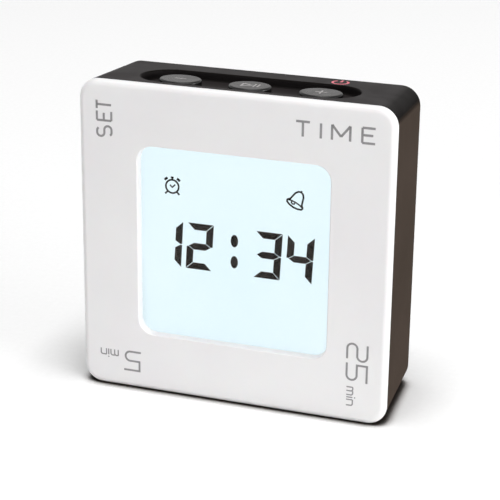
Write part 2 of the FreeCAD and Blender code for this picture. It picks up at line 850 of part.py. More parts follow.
def switch_bodies():
    """Three square switch bodies, each with a round well for its plunger."""
    half = switch_side / 2
    front, rear = button_setback - half, button_setback + half
    well_bottom = stem_bottom - plunger_length - button_travel - plunger_gap
    bodies = []
    for x in button_places.values():
        body = block(x - half, x + half, front, rear, switch_board_top, switch_top)
        well = post(plunger_radius + plunger_gap, well_bottom, switch_top + overrun, x, button_setback)
        bodies.append(body.cut(well))
    return Part.makeCompound(bodies)


def button_board():
    front = button_setback - switch_board_depth / 2
    board = block(-switch_board_half, switch_board_half, front, front + switch_board_depth,
                  switch_board_bottom, switch_board_top)
    for side in (-1, 1):
        board = board.cut(post(board_screw_radius + shank_gap, switch_board_bottom - overrun,
                               switch_board_top + overrun, side * switch_boss_x, button_setback))
    return board


def button_board_screws():
    length = switch_board_thickness + (pad_bottom - switch_board_top) / 2
    screws = []
    for side in (-1, 1):
        screws.append(screw(board_head_radius, board_head_height, board_screw_radius, length,
                            side * switch_boss_x, button_setback, switch_board_bottom, vector(0, 0, -1)))
    return Part.makeCompound(screws)


def button_ribbon():
    """Flat ribbon from under the button board down to the back of the main board."""
    outer = board_back + ribbon_stand
    inner = outer - ribbon_thickness
    low = board_top - ribbon_drop
    turn = ribbon_bend + ribbon_thickness
    half = ribbon_width / 2
    down = block(-half, half, inner, outer, low + turn, switch_board_bottom)
    foot = block(-half, half, board_back, inner - ribbon_bend, low, low + ribbon_thickness)
    start = vector(-half, inner - ribbon_bend, low + turn)
    bend = Part.makeCylinder(turn, ribbon_width, start, vector(1, 0, 0))
    bend = bend.cut(Part.makeCylinder(ribbon_bend, ribbon_width, start, vector(1, 0, 0)))
    corner = block(start.x, start.x + ribbon_width, start.y, start.y + turn, start.z - turn, start.z)
    return down.fuse([bend.common(corner), foot]).removeSplitter()


# Ball sensor


def tilt_cup():
    """Round cup on the board with a hub in its middle, so the ball can only roll round."""
    end = board_back + cup_floor + cup_cavity
    cup = rod(cup_outer_radius, board_back, end, sensor_x, sensor_z)
    cup = cup.cut(rod(cup_inner_radius, board_back + cup_floor, end + overrun, sensor_x, sensor_z))
    hub = rod(ball_orbit - ball_radius - hub_gap, board_back + cup_floor / 2, end, sensor_x, sensor_z)
    return cup.fuse(hub).removeSplitter()


def tilt_lid():
    start = board_back + cup_floor + cup_cavity
    return rod(cup_outer_radius, start, start + lid_thickness, sensor_x, sensor_z)


def tilt_ball():
    return Part.makeSphere(ball_radius, vector(sensor_x, ball_y, sensor_z - ball_orbit))


# Speaker


def speaker_frame():
    """Shallow steel basket behind the rear wall, open to the back."""
    rear = wall_back - gasket_thickness
    front = rear - speaker_depth
    basket = rod(speaker_radius, front, rear, 0, speaker_z)
    hollow = rod(speaker_radius - speaker_wall, front + speaker_wall, rear + overrun, 0, speaker_z)
    return basket.cut(hollow)


def speaker_cone():
    """Thin cone whose rim is glued inside the basket's mouth."""
    rear = wall_back - gasket_thickness
    rim = rear - speaker_wall
    outer = speaker_radius - speaker_wall - cone_gap
    throat = rim - cone_sink
    points = [(cone_throat_radius, throat), (outer - cone_rim, rim), (outer, rim),
              (outer, rim + cone_thickness), (outer - cone_rim, rim + cone_thickness),
              (cone_throat_radius, throat + cone_thickness), (0, throat + cone_thickness), (0, throat)]
    corners = [vector(radius, y, 0) for radius, y in points]
    profile = Part.Face(Part.makePolygon(corners + corners[:1]))
    cone = profile.revolve(vector(0, 0, 0), vector(0, 1, 0), 360)
    cone.translate(vector(0, 0, speaker_z))
    return cone


def speaker_magnet():
    end = wall_back - gasket_thickness - speaker_depth
    magnet = rod(magnet_radius, end - magnet_depth, end, 0, speaker_z)
    return magnet.makeFillet(speaker_wall / 2, edges_at(magnet, "y", end - magnet_depth))


def speaker_gasket():
    front = wall_back - gasket_thickness
    return tube(speaker_radius, speaker_radius - speaker_rim, front, wall_back, 0, speaker_z)


def speaker_leads():
    """Two leads from the basket's upper part to the main board."""
    leads = []
    start = wall_back - gasket_thickness - speaker_depth
    for side in (-1, 1):
        x = side * lead_drop
        high = speaker_z + magnet_radius + lead_drop / 2
        middle = (start + board_back) / 2
        leads.append(bent_tube([(x, start, high), (x, middle, high), (x, middle, high + lead_drop),
                                (x, board_back, high + lead_drop)], lead_radius, 2 * lead_radius))
    return Part.makeCompound(leads)


# Power


def cell(level):
    """Round cell with its nub: the upper one points right, the lower one left."""
    z = bay_z + level * cell_rise
    nub_end = level * (bay_half_length - plate_thickness)
    shoulder = nub_end - level * cell_nub_length
    way = vector(-level, 0, 0)
    can = Part.makeCylinder(cell_radius, cell_length, vector(shoulder, cell_y, z), way)
    can = can.makeFillet(cell_rounding, [edge for edge in can.Edges if len(edge.Vertexes) == 1])
    nub = Part.makeCylinder(cell_nub_radius, cell_nub_length + overrun, vector(nub_end, cell_y, z), way)
    return can.fuse(nub).removeSplitter()


def battery_plates():
    """Four contact plates on the end walls, each with a tab through the bay's floor."""
    plates = []
    for side in (-1, 1):
        outer = side * bay_half_length
        inner = outer - side * plate_thickness
        for level in (-1, 1):
            z = bay_z + level * cell_rise
            face = block(min(outer, inner), max(outer, inner), bay_inner, bay_inner + plate_side,
                         z - plate_side / 2, z + plate_side / 2)
            tab = block(min(outer, inner), max(outer, inner), bay_front - tab_reach, bay_inner + overrun,
                        z - plate_tab_width / 2, z + plate_tab_width / 2)
            plates.append(face.fuse(tab).removeSplitter())
    return Part.makeCompound(plates)


def battery_springs():
    """Conical contact spring at the flat end of each cell, four turns of wire."""
    springs = []
    for level in (-1, 1):
        z = bay_z + level * cell_rise
        start = -level * (bay_half_length - plate_thickness)
        pitch = (spring_length - 2 * spring_wire) / spring_turns
        height = pitch * spring_turns
        cone = math.degrees(math.atan((spring_tip_radius - spring_base_radius) / height))
        path = Part.makeLongHelix(pitch, height, spring_base_radius, cone)
        wire = Part.Circle(vector(spring_base_radius, 0, 0), vector(0, 1, 0), spring_wire)
        ring = Part.Wire([wire.toShape()])
        coil = Part.Wire(path.Edges).makePipeShell([ring], True, True)
        turn = FreeCAD.Rotation(vector(0, 0, 1), vector(level, 0, 0))
        coil.Placement = FreeCAD.Placement(vector(start + level * spring_wire, cell_y, z), turn)
        springs.append(coil)
    return Part.makeCompound(springs)


def battery_leads():
    """Two leads from contact tabs of the upper cell to the main board."""
    leads = []
    for side in (-1, 1):
        x = side * (bay_half_length - plate_thickness - lead_radius)
        z = bay_z + cell_rise
        y = bay_front - lead_radius - seat_gap
        leads.append(bent_tube([(x, y, z), (x, y, z - lead_drop),
                                (x, board_back, z - lead_drop)], lead_radius, 2 * lead_radius))
    return Part.makeCompound(leads)


nodes = {
    "front_cover": front_cover(),
    "rear_housing": rear_housing(),
    "battery_door": battery_door(),
    "display_window": window_pane(),
    "lcd_front_glass": glass_with_ledge(),
    "lcd_digits": lcd_digits(),
    "lcd_icons": lcd_signs(),
    "lcd_rear_glass": display_layer(rear_glass_front, rear_glass_back),
    "light_diffuser": display_layer(rear_glass_back, diffuser_back),
    "light_guide": light_guide(),
    "light_reflector": display_layer(guide_back, reflector_back),
    "backlight_strip": backlight_strip(),
    "backlight_leds": backlight_lamps(),
    "display_frame": display_frame(),
    "contact_strip": contact_strip(),
    "main_board": main_board(),
    "controller_chip": controller_chip(),
    "clock_crystal": clock_crystal(),
    "board_capacitors": board_capacitors(),
    "board_screws": board_screws(),
    "tilt_cup": tilt_cup(),
    "tilt_lid": tilt_lid(),
    "tilt_ball": tilt_ball(),
    "switch_bodies": switch_bodies(),
    "button_board": button_board(),
    "button_board_screws": button_board_screws(),
    "button_ribbon": button_ribbon(),
    "speaker_frame": speaker_frame(),
    "speaker_cone": speaker_cone(),
    "speaker_magnet": speaker_magnet(),
    "speaker_gasket": speaker_gasket(),
    "speaker_leads": speaker_leads(),
    "upper_cell": cell(1),
    "lower_cell": cell(-1),
    "battery_plates": battery_plates(),
    "battery_springs": battery_springs(),
    "battery_leads": battery_leads(),
    "case_screws": case_screws(),
}
for place, across in button_places.items():
    nodes[place + "_button"] = button_cap(across)
    nodes[place + "_plunger"] = switch_plunger(across)

# Leaning back onto the drafted underside: its middle becomes the origin.
foot_y = (cover_depth + body_depth) / 2
foot = vector(0, foot_y, (foot_y - cover_depth) * draft)
upright = FreeCAD.Placement(-foot, FreeCAD.Rotation())
leaning = FreeCAD.Placement(vector(0, 0, 0), FreeCAD.Rotation(vector(1, 0, 0), -draft_angle))
stand = leaning.multiply(upright).toMatrix()

os.makedirs("parts", exist_ok=True)
for name, shape in nodes.items():
    standing = shape.transformed(stand, True)
    standing.exportStep("parts/" + name + ".step")
    print(name, len(standing.Solids), standing.isValid(), round(standing.Volume, 2))
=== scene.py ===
import math
import bpy
import numpy as np
from mathutils import Matrix


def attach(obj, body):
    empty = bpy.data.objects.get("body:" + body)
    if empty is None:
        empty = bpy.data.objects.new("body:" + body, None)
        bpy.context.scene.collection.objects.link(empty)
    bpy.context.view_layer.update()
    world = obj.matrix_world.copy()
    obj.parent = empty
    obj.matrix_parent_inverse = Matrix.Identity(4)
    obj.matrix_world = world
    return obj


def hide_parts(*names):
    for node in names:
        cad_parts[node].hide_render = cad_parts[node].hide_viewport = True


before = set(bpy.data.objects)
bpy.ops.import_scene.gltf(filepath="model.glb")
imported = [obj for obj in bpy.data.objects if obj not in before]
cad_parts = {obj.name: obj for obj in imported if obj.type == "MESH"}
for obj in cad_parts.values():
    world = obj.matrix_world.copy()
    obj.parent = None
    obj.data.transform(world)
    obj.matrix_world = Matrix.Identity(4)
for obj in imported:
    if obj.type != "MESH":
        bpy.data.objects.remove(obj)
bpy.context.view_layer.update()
print("frame loaded")

# Things are placed in the clock's own upright frame: mm, X across the face, Y from the face to
# the back, Z up along the face. The clock stands leaning back from it by the lean angle.
mmPerMetre = 1000
leanAngle = math.radians(2.35)
lean = np.array([[1, 0, 0],
                 [0, math.cos(leanAngle), math.sin(leanAngle)],
                 [0, -math.sin(leanAngle), math.cos(leanAngle)]])


def nodePoints(node):
    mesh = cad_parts[node].data
    places = np.empty(len(mesh.vertices) * 3)
    mesh.vertices.foreach_get("co", places)
    return mmPerMetre * places.reshape(-1, 3) @ lean


coverPoints = nodePoints("front_cover")
faceHalf = (coverPoints[:, 0].max() - coverPoints[:, 0].min()) / 2
foot = np.array([-faceHalf, 0, 0]) - coverPoints.min(axis=0)


def stand(points):
    # a point on the table is the upright point less the foot, leant back, in metres
    return (np.asarray(points, float) - foot) @ lean.T / mmPerMetre


def uprightBox(node):
    points = nodePoints(node) + foot
    return points.min(axis=0), points.max(axis=0)


def standingMiddle(node):
    low, high = uprightBox(node)
    return stand([(low + high) / 2])[0]


# Printed lines are flat bars, half in the surface and half above it, by the height in mm. A sharp
# bend at most doubles their width, and points closer than samePoint count as one.
printSettings = {"height": 0.015, "leastCosine": 0.5, "samePoint": 1e-6}


def buildMesh(name, grids):
    # a grid is (rows, 4, 3): the section at each point of a path, capped at both ends
    corners, faces, start = [], [], 0
    for grid in grids:
        rows, around = grid.shape[:2]
        index = start + np.arange(rows * around).reshape(rows, around)
        onward = np.roll(index, -1, axis=1)
        sides = np.stack([index[:-1], onward[:-1], onward[1:], index[1:]], axis=-1)
        faces += [sides.reshape(-1, 4), index[:1, ::-1], index[-1:]]
        corners.append(grid.reshape(-1, 3))
        start += rows * around
    mesh = bpy.data.meshes.new(name)
    mesh.from_pydata(stand(np.concatenate(corners)).tolist(), [], np.concatenate(faces).tolist())
    mesh.validate()
    piece = bpy.data.objects.new(name, mesh)
    bpy.context.scene.collection.objects.link(piece)
    return piece


def arc(centre, radius, start, end, count=24):
    # a point is the centre plus the radius times (cos, sin) of the turn, in degrees
    turn = np.radians(np.linspace(start, end, count))
    return np.stack([centre[0] + radius * np.cos(turn), centre[1] + radius * np.sin(turn)], axis=-1)


def run(*parts):
    return np.concatenate([np.atleast_2d(np.asarray(part, float)) for part in parts])


def cleanPath(path):
    steps = np.linalg.norm(np.diff(path, axis=0), axis=1)
    return path[np.concatenate([[True], steps > printSettings["samePoint"]])]


def strokeGrid(path, width, put, height):
    # a corner is the path's point plus or minus half the width along the normal, and lies the
    # height above or below the surface; at a bend the reach grows by 1 / cosine of half the turn
    step = np.diff(path, axis=0)
    step /= np.linalg.norm(step, axis=1, keepdims=True)
    ahead = np.concatenate([step, step[-1:]])
    tangent = ahead + np.concatenate([step[:1], step])
    tangent /= np.linalg.norm(tangent, axis=1, keepdims=True)
    normal = np.stack([-tangent[:, 1], tangent[:, 0]], axis=-1)
    cosine = (tangent * ahead).sum(axis=1, keepdims=True)
    reach = width / 2 / np.clip(cosine, printSettings["leastCosine"], 1)
    left, right = path + normal * reach, path - normal * reach
    corners = ((left, -height), (right, -height), (right, height), (left, height))
    lines = [put(side[:, 0], side[:, 1], np.full(len(path), rise)) for side, rise in corners]
    grid = np.stack(lines, axis=1)
    # the ring is turned round where it would leave the faces inside out
    across = np.cross(grid[0, 1] - grid[0, 0], grid[0, 3] - grid[0, 0])
    return grid if across @ (grid[1, 0] - grid[0, 0]) < 0 else grid[:, ::-1]


def printLabel(name, strokes, width, put, material, body):
    height = printSettings["height"]
    piece = buildMesh(name, [strokeGrid(cleanPath(path), width, put, height) for path in strokes])
    piece.data.materials.append(material)
    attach(piece, body)


def linear(hexColour):
    # sRGB to linear: over 12.92 near black, else ((c + 0.055) / 1.055) to the power 2.4
    parts = [int(hexColour[i:i + 2], 16) / 255 for i in (1, 3, 5)]
    return [part / 12.92 if part <= 0.04045 else ((part + 0.055) / 1.055) ** 2.4 for part in parts] + [1]


def fillNode(tree, node, settings=None, links=None):
    # a key is the name or number of a socket, or else a property of the node
    for key, value in (settings or {}).items():
        if isinstance(key, int) or key in node.inputs:
            node.inputs[key].default_value = value
        else:
            setattr(node, key, value)
    for key, source in (links or {}).items():
        tree.links.new(source, node.inputs[key])
    return node


def addNode(tree, kind, settings=None, links=None):
    return fillNode(tree, tree.nodes.new(kind), settings, links)


def addMath(tree, operation, *terms):
    # a term is a plain number or what another node gives
    links = {place: term for place, term in enumerate(terms) if isinstance(term, bpy.types.NodeSocket)}
    numbers = {place: term for place, term in enumerate(terms) if place not in links}
    return addNode(tree, "ShaderNodeMath", {"operation": operation, **numbers}, links).outputs[0]


def addRange(tree, value, source, target=(0, 1)):
    # a straight line from the source range to the target range, held at both ends
    settings = {"From Min": source[0], "From Max": source[1], "To Min": target[0], "To Max": target[1]}
    return addNode(tree, "ShaderNodeMapRange", settings, {"Value": value}).outputs["Result"]


def spread(tree, noise, target):
    # noise keeps near its middle, so 0.3 to 0.7 of it fills the target range
    return addRange(tree, noise, (0.3, 0.7), target)


def addRamp(tree, factor, stops):
    ramp = addNode(tree, "ShaderNodeValToRGB", links={"Fac": factor})
    elements = ramp.color_ramp.elements
    elements.remove(elements[0])
    for number, (place, colour) in enumerate(stops):
        element = elements.new(place) if number else elements[0]
        element.position = place
        element.color = linear(colour)
    return ramp.outputs["Color"]


def addTones(tree, factor, tones, places=(0.35, 0.65)):
    # the first tone holds up to the first place and the second from the second place on
    return addRamp(tree, factor, list(zip(places, tones)))


def addMix(tree, factor, first, second):
    # sockets 0, 6 and 7 are the factor and the two colours, and output 2 is the mixed colour
    links = {0: factor, 6: first, 7: second}
    return addNode(tree, "ShaderNodeMix", {"data_type": "RGBA"}, links).outputs[2]


def addNoise(tree, vector, sizeMm, detail=3):
    # one cell of the pattern is sizeMm wide: object coordinates are in metres
    settings = {"Scale": mmPerMetre / sizeMm, "Detail": detail}
    return addNode(tree, "ShaderNodeTexNoise", settings, {"Vector": vector}).outputs["Fac"]


def addBump(tree, height, strength, depthMm):
    settings = {"Strength": strength, "Distance": depthMm / mmPerMetre}
    return addNode(tree, "ShaderNodeBump", settings, {"Height": height}).outputs["Normal"]


def splitVector(tree, vector):
    return addNode(tree, "ShaderNodeSeparateXYZ", links={"Vector": vector}).outputs


def boxFactor(tree, vector, box):
    # 1 where the distance from the middle is under half the side, along X and along Y
    parts = splitVector(tree, vector)
    inside = []
    for axis, (middle, half) in box.items():
        away = addMath(tree, "ABSOLUTE", addMath(tree, "SUBTRACT", parts[axis], middle))
        inside.append(addMath(tree, "LESS_THAN", away, half))
    return addMath(tree, "MULTIPLY", *inside)


def startMaterial(name):
    material = bpy.data.materials.new(name)
    material.use_nodes = True
    tree = material.node_tree
    tree.nodes.clear()
    shader = addNode(tree, "ShaderNodeBsdfPrincipled")
    addNode(tree, "ShaderNodeOutputMaterial", links={"Surface": shader.outputs["BSDF"]})
    vector = addNode(tree, "ShaderNodeTexCoord").outputs["Object"]
    return material, tree, shader, vector


def addGloss(tree, shader, vector, settings):
    # gloss varies at a third of the size of the tone, and the grain is a quarter as deep as wide
    gloss = spread(tree, addNoise(tree, vector, settings["driftMm"] / 3), settings["roughness"])
    grain = addNoise(tree, vector, settings["grainMm"], 2)
    bump = addBump(tree, grain, settings["grain"], settings["grainMm"] / 4)
    fillNode(tree, shader, links={"Roughness": gloss, "Normal": bump})


def finishMaterial(name, tones, settings):
    # the colour drifts between two close tones, the gloss drifts too and a fine grain breaks the light
    material, tree, shader, vector = startMaterial(name)
    drift = addNoise(tree, vector, settings["driftMm"], 4)
    fillNode(tree, shader, settings["shader"], {"Base Color": addTones(tree, drift, tones)})
    addGloss(tree, shader, vector, settings)
    return material


# Where the height part of the normal passes from side to top, and into and out of the rounded edge
normalRanges = {"top": (0.3, 0.95), "edgeStart": (0.12, 0.4), "edgeEnd": (0.99, 0.9)}


def sideTopMaterial(name, settings, shadeBox=None):
    # upness is 0 on upright faces and 1 on the top, and also 1 inside the box, which so takes the top's
    # tone as painted shade; on the housing the side and top tones are painted light and painted shade
    material, tree, shader, vector = startMaterial(name)
    height = splitVector(tree, addNode(tree, "ShaderNodeTexCoord").outputs["Normal"])["Z"]
    upness = addRange(tree, height, normalRanges["top"])
    if shadeBox:
        upness = addMath(tree, "MAXIMUM", upness, boxFactor(tree, vector, shadeBox))
    drift = addNoise(tree, vector, settings["driftMm"], 4)
    side, top, edge = [addTones(tree, drift, settings[part]) for part in ("side", "top", "edge")]
    # painted shade: the rounded edge between side and top is painted nearly black, standing in for the
    # dark reflection it shows there
    paintedEdgeShade = addMath(tree, "MULTIPLY", addRange(tree, height, normalRanges["edgeStart"]),
                   addRange(tree, height, normalRanges["edgeEnd"]))
    fillNode(tree, shader, {"IOR": settings["ior"]},
             {"Base Color": addMix(tree, paintedEdgeShade, addMix(tree, upness, side, top), edge),
              "Specular IOR Level": addRange(tree, upness, (0, 1), settings["mirror"])})
    addGloss(tree, shader, vector, settings)
    return material


def paint(material, *nodes):
    for node in nodes:
        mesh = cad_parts[node].data
        mesh.materials.clear()
        mesh.materials.append(material)


# White moulded ABS of the cover: satin, nearly even, with a faint spark grain
coverSettings = {"driftMm": 30, "grainMm": 0.25, "grain": 0.05, "roughness": (0.38, 0.46),
                 "shader": {"IOR": 1.5, "Subsurface Weight": 0.04, "Subsurface Scale": 0.002}}
paint(finishMaterial("whiteMouldedAbs", ("#E6E4E5", "#E9E8E8"), coverSettings), "front_cover")

# Dark moulded ABS of the housing, with painted light: the sides are painted lighter and warmer and the
# top darker, lit and shaded copies of one plastic, the rounded edge is painted nearly black, the top
# mirrors a little, and the button recess takes the top's darker tone as painted shade
housingSettings = {"side": ("#403832", "#453C36"), "top": ("#232020", "#272424"),
                   "edge": ("#0D0B0A", "#120F0E"), "driftMm": 24, "grainMm": 0.35, "grain": 0.16,
                   "roughness": (0.46, 0.56), "mirror": (0, 0.03), "ior": 1.5,
                   "shadedRecessHalf": (0.03, 0.008)}
# the recess, painted in the top's darker tone as painted shade, as its middle and half side along X and
# along Y, in metres
recessShadeBox = dict(zip("XY", zip(standingMiddle("middle_button"), housingSettings["shadedRecessHalf"])))
paint(sideTopMaterial("darkMouldedAbs", housingSettings, recessShadeBox), "rear_housing")

# Battery door: the same ABS from another mould, a shade darker and evenly matt
doorSettings = {"driftMm": 18, "grainMm": 0.35, "grain": 0.18, "roughness": (0.5, 0.6),
                "shader": {"IOR": 1.5, "Specular IOR Level": 0.1}}
paint(finishMaterial("darkDoorAbs", ("#312925", "#362E29"), doorSettings), "battery_door")

# Button caps: grey satin tops and glossy black sides, the tone following how far the surface faces up,
# with the rounded edge painted dark as on the housing
buttonSettings = {"side": ("#080808", "#0C0B0B"), "top": ("#2B2827", "#312E2D"),
                  "edge": ("#0A0A0A", "#0E0D0D"), "driftMm": 6, "grainMm": 0.5, "grain": 0.03,
                  "roughness": (0.24, 0.34), "mirror": (0.4, 0.14), "ior": 1.5}
paint(sideTopMaterial("satinBlackAbs", buttonSettings), "left_button", "middle_button", "right_button")

print("outer materials made")


def clearMaterial(name, settings):
    # clear sheet: a slow waviness of the gloss keeps its reflections alive
    material, tree, shader, vector = startMaterial(name)
    haze = spread(tree, addNoise(tree, vector, settings["hazeMm"]), settings["roughness"])
    shader.inputs["Base Color"].default_value = linear(settings["tint"])
    fillNode(tree, shader, settings["shader"], {"Roughness": haze})
    return material


# Window: clear acrylic, which shows only by its polished rim and a faint gleam
windowSettings = {"tint": "#FDFFFF", "hazeMm": 20, "roughness": (0, 0.004),
                  "shader": {"Transmission Weight": 1, "IOR": 1.2}}
paint(clearMaterial("clearAcrylic", windowSettings), "display_window")

# The two glasses are bonded by clear gel: they neither bend light nor mirror it, and leave
# only a breath of dark over the lit film
glassSettings = {"tint": "#101314", "hazeMm": 30, "roughness": (0, 0.004),
                 "shader": {"Alpha": 0.01, "IOR": 1.03}}
paint(clearMaterial("displayGlass", glassSettings), "lcd_front_glass", "lcd_rear_glass")

# Dark crystal: nearly black bars with a faint warm unevenness
crystalSettings = {"driftMm": 3, "grainMm": 0.4, "grain": 0.02, "roughness": (0.5, 0.6),
                   "shader": {"IOR": 1.4, "Specular IOR Level": 0.05}}
darkCrystal = finishMaterial("darkCrystal", ("#241E1B", "#2C2522"), crystalSettings)
paint(darkCrystal, "lcd_digits", "lcd_icons")

# Backlit film: the polariser over it keeps room light out, so it shows its own pale blue light,
# slightly uneven. It lies right on the light guide, and both are lit alike.
litSettings = {"tones": ("#E5F6FD", "#E9F8FE"), "driftMm": 25, "unlit": "#2C3233",
               "shader": {"Roughness": 0.7, "Emission Strength": 1.03}}


def litMaterial(name, settings):
    material, tree, shader, vector = startMaterial(name)
    glow = addTones(tree, addNoise(tree, vector, settings["driftMm"], 2), settings["tones"], (0.3, 0.7))
    shader.inputs["Base Color"].default_value = linear(settings["unlit"])
    fillNode(tree, shader, settings["shader"], {"Emission Color": glow})
    return material


paint(litMaterial("litDiffuserFilm", litSettings), "light_diffuser")
paint(litMaterial("litAcrylicGuide", litSettings), "light_guide")

# Reflector: white satin film
reflectorSettings = {"driftMm": 12, "grainMm": 0.6, "grain": 0.05, "roughness": (0.3, 0.4),
                     "shader": {"IOR": 1.6}}
paint(finishMaterial("whiteReflectorFilm", ("#F1F3F3", "#FAFBFB"), reflectorSettings), "light_reflector")

# Lamps of the backlight: pale yellow phosphor under clear resin
phosphorSettings = {"driftMm": 1.5, "grainMm": 0.3, "grain": 0.05, "roughness": (0.3, 0.45),
                    "shader": {"IOR": 1.5}}
paint(finishMaterial("lampPhosphor", ("#E8D98A", "#F4EBB4"), phosphorSettings), "backlight_leds")

# Boards: solder mask over a coarse net of raised tracks, with a thin weave in the gloss
boardSettings = {"driftMm": 12, "trackMm": 3.2, "gap": 0.07, "soft": 0.2, "cell": (0.9, 0.45),
                 "weaveMm": 1.2, "roughness": (0.28, 0.4), "rise": 0.2, "riseMm": 0.05}


def boardMaterial(name, tones, track, settings=boardSettings):
    material, tree, shader, vector = startMaterial(name)
    mask = addTones(tree, addNoise(tree, vector, settings["driftMm"]), tones)
    facing = addNode(tree, "ShaderNodeMapping", {"Rotation": (math.pi / 2, 0, 0)}, {"Vector": vector})
    wide, tall = settings["cell"]
    cells = addNode(tree, "ShaderNodeTexBrick",
                    {"Scale": mmPerMetre / settings["trackMm"], "Mortar Size": settings["gap"],
                     "Mortar Smooth": settings["soft"], "Brick Width": wide, "Row Height": tall,
                     "Mortar": linear(track)},
                    {"Vector": facing.outputs["Vector"], "Color1": mask, "Color2": mask})
    weave = addNoise(tree, vector, settings["weaveMm"])
    bump = addBump(tree, cells.outputs["Fac"], settings["rise"], settings["riseMm"])
    fillNode(tree, shader, links={"Base Color": cells.outputs["Color"], "Normal": bump,
                                  "Roughness": spread(tree, weave, settings["roughness"])})
    return material


paint(boardMaterial("greenSolderMask", ("#0F4A2B", "#155A36"), "#2A7A4C"), "main_board")
paint(boardMaterial("greenPhenolicMask", ("#18502C", "#205C36"), "#348055"), "button_board")
paint(boardMaterial("whiteStripMask", ("#DADCD8", "#E4E6E2"), "#C4C6C0"), "backlight_strip")

# Chip: black moulded resin, shiny under a thin coat
resinSettings = {"driftMm": 3, "grainMm": 0.8, "grain": 0.08, "roughness": (0.18, 0.32),
                 "shader": {"IOR": 1.55, "Coat Weight": 0.2}}
paint(finishMaterial("blackResin", ("#0D0D0E", "#161617"), resinSettings), "controller_chip")

# Frame of the display in grey ABS, and switches in matt black nylon
paint(finishMaterial("greyInnerAbs", ("#B9B9B4", "#C3C3BE"), coverSettings), "display_frame")
paint(finishMaterial("blackSwitchNylon", ("#191919", "#222221"), doorSettings), "switch_bodies")

# Natural nylon of the sensor, cream and slightly waxy, and the grey nylon of the plungers
nylonSettings = {"driftMm": 5, "grainMm": 0.3, "grain": 0.1, "roughness": (0.35, 0.45),
                 "shader": {"IOR": 1.5}}
paint(finishMaterial("sensorNylon", ("#D8D4C6", "#E2DED0"), nylonSettings), "tilt_cup", "tilt_lid")
paint(finishMaterial("greyPlungerNylon", ("#8F8F8B", "#9B9B96"), nylonSettings),
      "left_plunger", "middle_plunger", "right_plunger")

# Gasket: black foam with open pores
foamSettings = {"driftMm": 4, "grainMm": 0.5, "grain": 0.5, "roughness": (0.7, 0.85),
                "shader": {"IOR": 1.45}}
paint(finishMaterial("blackFoam", ("#181818", "#242424"), foamSettings), "speaker_gasket")

# Capacitors: tan ceramic, dull and finely pitted
ceramicSettings = {"driftMm": 0.8, "grainMm": 0.15, "grain": 0.15, "roughness": (0.5, 0.65),
                   "shader": {"IOR": 1.6}}
paint(finishMaterial("tanCeramic", ("#A8875F", "#BB9A70"), ceramicSettings), "board_capacitors")


def stripeMaterial(name, settings):
    # a stripe shows where the place along X, modulo the pitch, is below a share of the pitch
    material, tree, shader, vector = startMaterial(name)
    along = addMath(tree, "MULTIPLY", splitVector(tree, vector)["X"], mmPerMetre / settings["pitchMm"])
    stripes = addMath(tree, "LESS_THAN", addMath(tree, "FRACT", along), settings["share"])
    wear = addNoise(tree, vector, settings["wearMm"])
    bump = addBump(tree, stripes, settings["rise"], settings["riseMm"])
    fillNode(tree, shader, links={"Base Color": addTones(tree, stripes, settings["tones"], (0.4, 0.6)),
                                  "Roughness": spread(tree, wear, settings["roughness"]), "Normal": bump})
    return material


# Contact strip: thin layers of grey and dark rubber, flush with each other
contactSettings = {"pitchMm": 0.5, "share": 0.5, "tones": ("#8E8F90", "#2B2B2C"), "wearMm": 0.8,
                   "roughness": (0.6, 0.8), "rise": 0, "riseMm": 0.05}
paint(stripeMaterial("layeredContactRubber", contactSettings), "contact_strip")

# Ribbon: tinned tracks at 1 mm pitch, raised in a clear amber film
ribbonSettings = {"pitchMm": 1, "share": 0.55, "tones": ("#C8A25E", "#B9B6AE"), "wearMm": 1.5,
                  "roughness": (0.25, 0.4), "rise": 0.3, "riseMm": 0.05}
paint(stripeMaterial("flatRibbonFilm", ribbonSettings), "button_ribbon")


def metalMaterial(name, tones, settings):
    # metal: tone and gloss follow fine streaks left by rolling or plating, a tenth as deep as wide
    material, tree, shader, vector = startMaterial(name)
    stretch = settings.get("stretch", (1, 1, 1))
    drawn = addNode(tree, "ShaderNodeMapping", {"Scale": stretch}, {"Vector": vector})
    streaks = addNoise(tree, drawn.outputs["Vector"], settings["streakMm"], 4)
    fillNode(tree, shader, {"Metallic": 1},
             {"Base Color": addTones(tree, streaks, tones, (0.3, 0.7)),
              "Roughness": spread(tree, streaks, settings["roughness"]),
              "Normal": addBump(tree, streaks, settings["grain"], settings["streakMm"] / 10)})
    return material


# Bright nickel on springs, plates and the speaker's frame, with streaks drawn out flat
nickelSettings = {"streakMm": 1.2, "roughness": (0.18, 0.34), "grain": 0.1, "stretch": (1, 1, 6)}
paint(metalMaterial("nickelPlatedSteel", ("#B4B2AC", "#CFCDC6"), nickelSettings),
      "clock_crystal", "battery_plates", "battery_springs", "speaker_frame")

# Screws: dark oxide, half matt
oxideSettings = {"streakMm": 0.6, "roughness": (0.28, 0.42), "grain": 0.1}
paint(metalMaterial("blackOxideSteel", ("#4A4A4C", "#66666A"), oxideSettings),
      "case_screws", "board_screws", "button_board_screws")

# Ball: polished, nearly a mirror
ballSettings = {"streakMm": 0.8, "roughness": (0.06, 0.14), "grain": 0.1}
paint(metalMaterial("polishedBallSteel", ("#C9CACC", "#DCDDDF"), ballSettings), "tilt_ball")

# Magnet: dull zinc plating
zincSettings = {"streakMm": 1.5, "roughness": (0.3, 0.45), "grain": 0.1}
paint(metalMaterial("zincPlatedMagnet", ("#8D8F92", "#A9ABAE"), zincSettings), "speaker_magnet")

# Speaker cone: black pressed paper with fine ridges round its middle
coneSettings = {"tones": ("#1A1918", "#272523"), "fibreMm": 1.5, "ridgeMm": 6.5, "waver": 0.4,
                "ridge": 0.4, "ridgeDeepMm": 0.3, "wearMm": 0.6, "roughness": (0.75, 0.9)}


